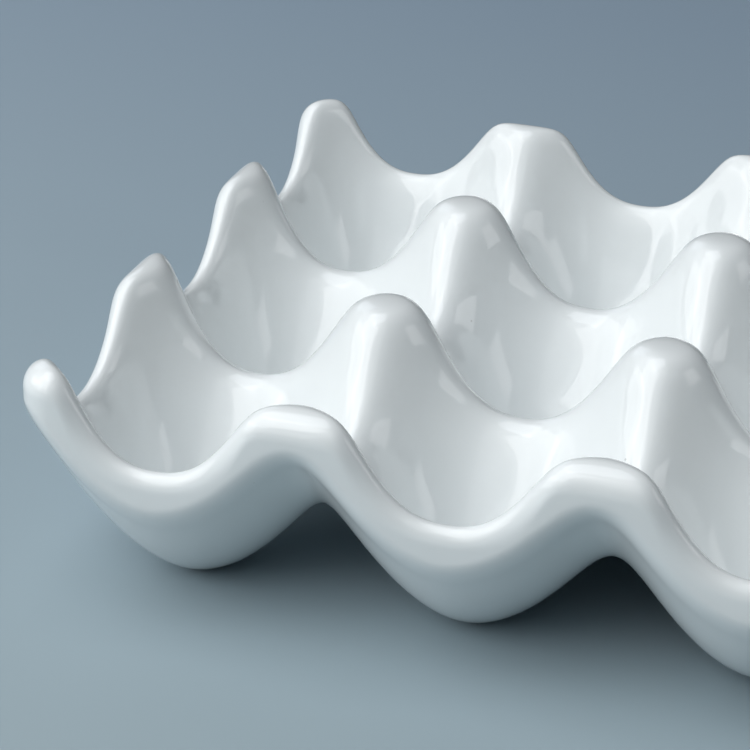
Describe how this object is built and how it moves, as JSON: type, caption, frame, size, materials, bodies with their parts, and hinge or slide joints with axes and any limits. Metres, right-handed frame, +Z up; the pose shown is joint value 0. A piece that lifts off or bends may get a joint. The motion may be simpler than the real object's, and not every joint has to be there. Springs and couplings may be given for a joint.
{
  "type": "egg tray",
  "caption": "Glazed white porcelain tray with deep round cups in rows for eggs, soft wave-like ridges with flat-topped peaks between them and a rolled rim, standing on bare feet.",
  "frame": {"origin": "on the table, under the middle of the tray", "axes": "+Z up, +X along the longer side, +Y away from the side that the picture shows"},
  "size_m": [0.2066, 0.1546, 0.0453],
  "materials": {
    "glazed_porcelain": "clear gloss glaze over white porcelain",
    "bare_porcelain": "bare fired porcelain, matt"
  },
  "bodies": {
    "root": {"cup_front_1": "glazed_porcelain", "cup_front_2": "glazed_porcelain", "cup_front_3": "glazed_porcelain", "cup_front_4": "glazed_porcelain", "cup_middle_1": "glazed_porcelain", "cup_middle_2": "glazed_porcelain", "cup_middle_3": "glazed_porcelain", "cup_middle_4": "glazed_porcelain", "cup_back_1": "glazed_porcelain", "cup_back_2": "glazed_porcelain", "cup_back_3": "glazed_porcelain", "cup_back_4": "glazed_porcelain", "foot_front_1": "bare_porcelain", "foot_front_2": "bare_porcelain", "foot_front_3": "bare_porcelain", "foot_front_4": "bare_porcelain", "foot_middle_1": "bare_porcelain", "foot_middle_2": "bare_porcelain", "foot_middle_3": "bare_porcelain", "foot_middle_4": "bare_porcelain", "foot_back_1": "bare_porcelain", "foot_back_2": "bare_porcelain", "foot_back_3": "bare_porcelain", "foot_back_4": "bare_porcelain"}
  },
  "joints": []
}
